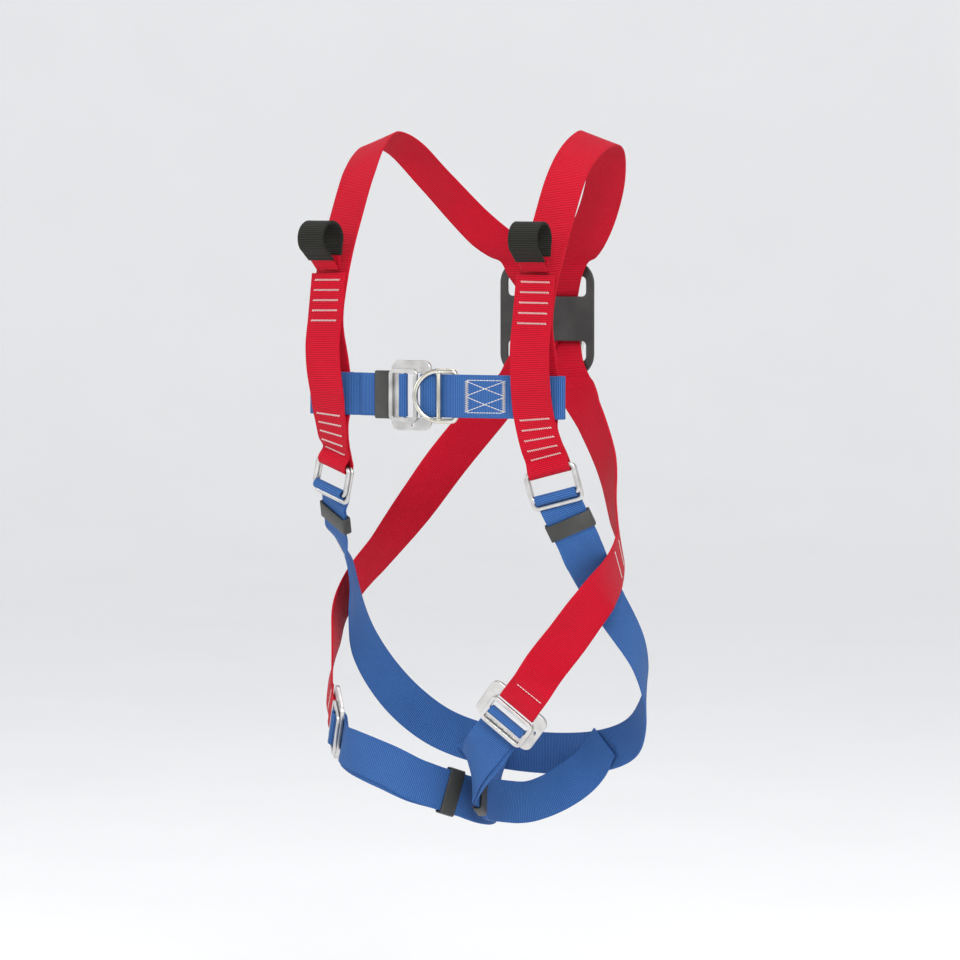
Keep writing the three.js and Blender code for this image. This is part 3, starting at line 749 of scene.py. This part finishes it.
def seat_strap_end(side, stations_from_end):
    """The moving end, from inside the keeper over the front ring's lower bar and back, and its fixed tail."""
    s = SIDES[side]
    frame = ADJUSTER[side]
    route = Route(stations_from_end, outward=frame.to_3x3() @ Vector((0, 1, 0)))
    turn = Route(stations(f"seat_strap_turn_{side}", corner_of(frame, -7.7, -1.44, 150)))
    first, last, _ = STRETCHES[f"hip_{side}"]
    cut = route.nearest(first.lerp(last, 0.5))
    half = np.array(frame.to_3x3() @ Vector((1, 0, 0))) * WEB["width"] * MM / 2
    between = [(np.array(local(frame, up, out)), half, WEB["thick"] * MM)
               for up, out in ((-14.1, -2.2), (-15.9, -4.5), (-19.5, -5.7))]
    below = route.nearest(local(frame, -24, -6.9) / MM)
    skip = 1 * MM
    points = turned(route.ply(skip, cut, 2 * MM, side=-1))
    points += turn.ply(skip, turn.length - skip, 1 * MM) + between
    points += route.ply(below, cut, 2 * MM, side=1)
    whole = Route(aligned(points))
    out = frame.to_3x3() @ Vector((0, 0, 1))
    whole.face_towards(out, whole.length - 10 * MM)
    piece = ribbon(f"seat_strap_end_{side}", whole, 0, whole.length, BLUE)
    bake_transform(piece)
    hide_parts(f"seat_strap_turn_{side}")
    tail_end = route.nearest((s * 146, -58, -425)) + 8 * MM
    tail = Route(route.ply(cut, tail_end, 2 * MM, side=1), outward=facing(s * 24))
    dress(ribbon(f"seat_strap_tail_{side}", tail, 0, tail.length, BLUE), "root", "blue_webbing")
    hem = zigzag(tail, tail.length - 5 * MM, 17)
    dress(thread_runs(f"seat_strap_hem_{side}", [hem]), "root", "blue_webbing")


# ---------------------------------------------------------------- front loops

def front_loop(side):
    """A woven black sleeve round the eye, over a narrower red core whose two legs show at the root."""
    s = SIDES[side]
    name = f"front_loop_{side}"
    root = corner_of(frame_at(s * 124, -117, -140, s * 5, 0), 4, 1.9, 0, 33, 3)
    route = Route(stations(name, root, 33, 3), outward=(0, -1, 0))
    bare = LOOP_ROOT * MM
    sleeve = ribbon(f"{name}_sleeve", route, bare, route.length - bare, SLEEVE, half_thick=1.5 * MM)
    dress(sleeve, name, "black_sleeve", name)
    core = ribbon(f"{name}_core", route, 0, route.length, RED, half_thick=0.9 * MM, breadth=0.88)
    dress(core, name, "red_webbing")


# ---------------------------------------------------------------- hardware

def rectangular_ring(name, frame, height, centre_up, centre_out, body):
    path = rounded_rectangle(RING["width"] - RING["bar"], height - RING["bar"],
                             RING["corner"] - RING["bar"] / 2, (0, centre_up))
    place = frame @ Matrix.Translation(Vector((0, 0, centre_out * MM)))
    piece = bent_bar(f"{name}_bar", path, RING["bar"] / 2, RING["depth"] / 2, place, FORGED)
    dress(piece, body, "forged_steel", name)


def adjuster(side):
    frame = ADJUSTER[side]
    out = (RING["depth"] + RING["play"]) / 2
    rise = (RING["back"] - RING["front"]) / 2
    rectangular_ring(f"adjuster_front_ring_{side}", frame, RING["front"], rise, out, f"adjuster_{side}")
    rectangular_ring(f"adjuster_back_ring_{side}", frame, RING["back"], 0, -out, "root")


def buckle(prefix, suffix, frame, body):
    window = BUCKLE["height"] - 2 * BUCKLE["bar"]
    key = [(30 + 1.4 * math.cos(a), 2 + 2.2 * math.sin(a)) for a in np.linspace(0, 2 * math.pi, 25)[:-1]]
    outlines = [rounded_rectangle(BUCKLE["width"], BUCKLE["height"], BUCKLE["corner"]),
                rounded_rectangle(BUCKLE["window"], window, 3), key]
    piece = sheet_metal(f"{prefix}_buckle_frame{suffix}_plate", outlines, BUCKLE["thick"], 0.8, frame, FORGED)
    dress(piece, "root", "forged_steel", f"{prefix}_buckle_frame{suffix}")
    slot = (PLATE["height"] - 2 * PLATE["rail"] - PLATE["bar"]) / 2
    at = (PLATE["bar"] + slot) / 2
    outlines = [rounded_rectangle(PLATE["width"], PLATE["height"], PLATE["corner"])]
    outlines += [rounded_rectangle(PLATE["width"] - 2 * PLATE["rail"], slot, 1, (0, y)) for y in (-at, at)]
    out = BUCKLE["thick"] / 2 + PLATE["lift"] + PLATE["thick"] / 2
    piece = sheet_metal(f"{prefix}_buckle_plate{suffix}_plate", outlines, PLATE["thick"], 0.6, frame, FORGED,
                        (0, -PLATE["drop"], out))
    dress(piece, body, "forged_steel", f"{prefix}_buckle_plate{suffix}")


def slotted_ring(name, frame, size, material, slot_name):
    half = (size["inside"] + size["wire"]) / 2
    corner = size["wire"]
    path = [(half - corner + corner * math.cos(a), -corner + corner * math.sin(a))
            for a in np.linspace(math.pi / 2, 0, 9)]
    path += [(half * math.cos(a), -size["slot"] - (size["reach"] - size["slot"]) * math.sin(a))
             for a in np.linspace(0, math.pi, 49)]
    path += [(-half + corner + corner * math.cos(a), -corner + corner * math.sin(a))
             for a in np.linspace(math.pi, math.pi / 2, 9)]
    rim = bent_bar(f"{name}_rim", path, size["wire"] / 2, size["wire"] / 2, frame, material, 24)
    dress(rim, name, slot_name, name)
    bar = straight_bar(f"{name}_bar", half, -size["slot"], size["wire"] / 2, frame, material)
    dress(bar, name, slot_name)


def straight_bar(name, half, up, radius, frame, material):
    """A round bar across a frame's width, swelling a little at its two welded ends."""
    sides, swell = 24, 1.12
    rows = [(-half, 1.0), (-half + 1, swell), (-half + 3.4, swell), (-half + 5, 1.0)]
    rows += [(-x, grown) for x, grown in reversed(rows)]
    vertices = [local(frame, up + radius * grown * math.sin(a), radius * grown * math.cos(a), x)
                for x, grown in rows for a in np.linspace(0, 2 * math.pi, sides + 1)[:-1]]
    faces = quads(len(rows), sides) + caps(len(rows), sides)
    return face_out(new_object(name, vertices, faces, material))


def dorsal_plate():
    width, height, thick = (DORSAL_PLATE[key] for key in ("width", "height", "thick"))
    slots = [rounded_rectangle(*DORSAL_PLATE["slot"], 5, (0, s * DORSAL_PLATE["slot_at"])) for s in (1, -1)]
    outline = rounded_rectangle(width, height, DORSAL_PLATE["corner"], per_corner=16)
    piece = sheet_metal("dorsal_plate_body", [outline, *slots], thick, 0.9, DORSAL, BLACK_PLASTIC,
                        (0, 0, thick / 2))
    dress(piece, "root", "black_plastic", "dorsal_plate")
    rim = rounded_rectangle(width - 7, height - 7, DORSAL_PLATE["corner"] - 3.5, per_corner=16)
    raised = bent_bar("dorsal_plate_rim", rim, 1.8, 1.0, DORSAL @ Matrix.Translation((0, 0, thick * MM)),
                      BLACK_PLASTIC, 12)
    dress(raised, "root", "black_plastic")


def keeper(name, first, last, azimuth):
    """A moulded flat sleeve with rounded rims."""
    along = (last - first).normalized()
    face = facing(azimuth)
    face = (face - along * face.dot(along)).normalized()
    frame = Matrix((face.cross(along), face, along)).transposed().to_4x4()
    frame.translation = first.lerp(last, 0.5) * MM
    half, wall, rim = KEEPER["length"] / 2, KEEPER["wall"], 0.5
    outer = (KEEPER["width"], KEEPER["depth"], 2.4)
    inner = (outer[0] - 2 * wall, outer[1] - 2 * wall, 0.8)
    turn = 0.29 * rim       # a quarter round's middle, from either of its tangents
    loops = [(outer, 0, half - rim), (outer, turn, half - turn), (outer, rim, half), (inner, -rim, half),
             (inner, -turn, half - turn), (inner, 0, half - rim)]
    loops += [(size, inset, -z) for size, inset, z in reversed(loops)]
    vertices = []
    for (w, d, r), inset, z in loops:
        vertices += [frame @ (Vector((x, y, z)) * MM)
                     for x, y in rounded_rectangle(w - 2 * inset, d - 2 * inset, r - inset)]
    count = len(vertices) // len(loops)
    faces = quads(len(loops), count, closed=True)
    piece = face_out(new_object(f"{name}_sleeve", vertices, faces, BLACK_PLASTIC))
    dress(piece, name, "black_plastic", name)


# ---------------------------------------------------------------- stage, light and camera

def stage():
    """A pale round floor that curves up into a wall all round, so that every side has the same backdrop."""
    floor, flat, curve, top, sides = -1.0, 8.0, 2.0, 4.5, 96
    outline = [(0.5, floor), (flat, floor)]
    outline += [(flat + curve * math.sin(a), floor + curve * (1 - math.cos(a)))
                for a in np.linspace(0, math.pi / 2, 17)[1:]]
    outline.append((flat + curve, top))
    vertices = [(r * math.cos(a), r * math.sin(a), z)
                for r, z in outline for a in np.linspace(0, 2 * math.pi, sides + 1)[:-1]]
    faces = [tuple(range(sides))] + quads(len(outline), sides)
    material, tree, shader = new_material("backdrop_paper", (0.82, 0.82, 0.82), 0.9)
    tree.links.new(ramp(tree, noise(tree, 3, 2), ((0.3, (0.81, 0.81, 0.81)), (0.7, (0.83, 0.83, 0.83)))),
                   shader.inputs["Base Color"])
    shader.inputs["Emission Color"].default_value = (1, 1, 1, 1)
    shader.inputs["Emission Strength"].default_value = 0.17
    new_object("backdrop", vertices, faces, material)


def area_light(name, place, size, power):
    light = bpy.data.lights.new(name, "AREA")
    light.shape = "RECTANGLE"
    light.size, light.size_y = size
    light.energy = power
    lamp = bpy.data.objects.new(name, light)
    bpy.context.scene.collection.objects.link(lamp)
    lamp.location = place
    aim = LIGHTS_AIM - Vector(place)
    lamp.rotation_euler = aim.to_track_quat("-Z", "Y").to_euler()


def camera():
    azimuth, elevation = math.radians(CAMERA["azimuth"]), math.radians(CAMERA["elevation"])
    across = CAMERA["across"]
    target = Vector((across * math.cos(azimuth), across * math.sin(azimuth), CAMERA["height"])) * MM
    view = Vector((math.sin(azimuth) * math.cos(elevation), -math.cos(azimuth) * math.cos(elevation),
                   math.sin(elevation)))
    data = bpy.data.cameras.new("camera")
    data.lens = CAMERA["lens"]
    data.sensor_width = CAMERA["sensor"]
    eye = bpy.data.objects.new("camera", data)
    bpy.context.scene.collection.objects.link(eye)
    eye.location = target + view * CAMERA["distance"]
    eye.rotation_euler = (-view).to_track_quat("-Z", "Y").to_euler()
    bpy.context.scene.camera = eye


def daylight():
    bpy.context.scene.view_settings.view_transform = "Standard"
    world = bpy.data.worlds.new("studio")
    bpy.context.scene.world = world
    world.use_nodes = True
    background = world.node_tree.nodes["Background"]
    background.inputs["Color"].default_value = (0.93, 0.95, 1.0, 1)
    background.inputs["Strength"].default_value = 0.58


# ---------------------------------------------------------------- assembly

# The straight stretch that each keeper slides on: its two ends, and the azimuth that the keeper faces.
STRETCHES = {
    "chest": (Vector((-40, -119.3, CHEST_HEIGHT)), Vector((-70, -119.1, CHEST_HEIGHT)), -2),
    "hip_left": (Vector((138, -85.5, -379)), Vector((145, -68.5, -410)), 24),
    "hip_right": (Vector((-138, -85.5, -379)), Vector((-145, -68.5, -410)), -24),
    "leg_left": (Vector((8, -44, -669)), Vector((2, -11, -688)), -62),
    "leg_right": (Vector((-32, -56, -674)), Vector((-17, -22, -686)), 62),
}
LEG_TAIL_ENDS = {"left": (5, 10, -692), "right": (-15, -8, -692)}

for side_name in SIDES:
    shoulder_strap(side_name)
    front_loop(side_name)
    adjuster(side_name)
    buckle("leg", f"_{side_name}", LEG[side_name], f"leg_plate_{side_name}")
    buckled_strap("leg_strap", "leg_strap_turn", f"_{side_name}", LEG[side_name],
                  LEG_TAIL_ENDS[side_name], f"leg_{side_name}", LEG_PLY_STRAY * MM)
    for place_name in ("hip", "leg"):
        keeper(f"{place_name}_keeper_{side_name}", *STRETCHES[f"{place_name}_{side_name}"])
keeper("chest_keeper", *STRETCHES["chest"])
buckle("chest", "", CHEST, "chest_plate")
buckled_strap("chest_strap_right", "chest_strap_turn", "", CHEST, (-84, -117, CHEST_HEIGHT),
              "chest", 0.0)
chest_strap_left()
seat_strap()
slotted_ring("chest_ring", CHEST_RING_FRAME, CHEST_RING, PLATED, "plated_steel")
slotted_ring("dorsal_ring", DORSAL_RING_FRAME, DORSAL_RING, FORGED, "forged_steel")
dorsal_plate()
stage()
area_light("key", (2.6, -3.2, 2.4), (1.8, 1.8), 150)
area_light("fill", (-3.4, -3.0, 1.2), (2.2, 2.2), 40)
area_light("top", (0.0, 0.6, 3.4), (2.4, 2.4), 45)
camera()
daylight()
